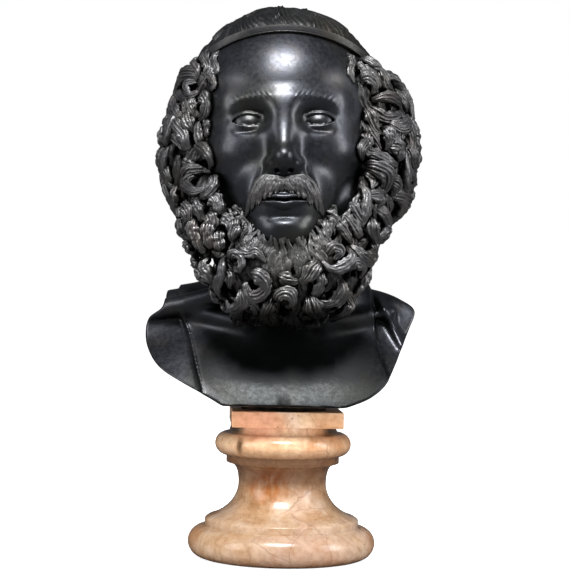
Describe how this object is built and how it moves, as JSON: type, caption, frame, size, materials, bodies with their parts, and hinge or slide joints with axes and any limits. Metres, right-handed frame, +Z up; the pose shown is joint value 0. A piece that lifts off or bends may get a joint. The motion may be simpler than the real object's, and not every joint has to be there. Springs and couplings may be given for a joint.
{
  "type": "bronze portrait bust on a marble socle",
  "caption": "Bust of a bearded man with curled hair and a hair band, cut round below the shoulders, standing on a turned marble socle.",
  "frame": {"origin": "centre of the socle's round underside, which is the face that the bust stands on", "axes": "+Z up through the bust, the face looks along -Y, and +X is at the viewer's right"},
  "size_m": [0.2632, 0.2291, 0.5338],
  "materials": {
    "bronze": "cast bronze with a near-black waxed patina, semi-gloss",
    "marble": "polished orange-beige veined marble",
    "dark_metal": "blackened metal plate, satin"
  },
  "bodies": {
    "root": {"bronze_bust": "bronze", "marble_socle": "marble", "mounting_plate": "dark_metal"}
  },
  "joints": []
}
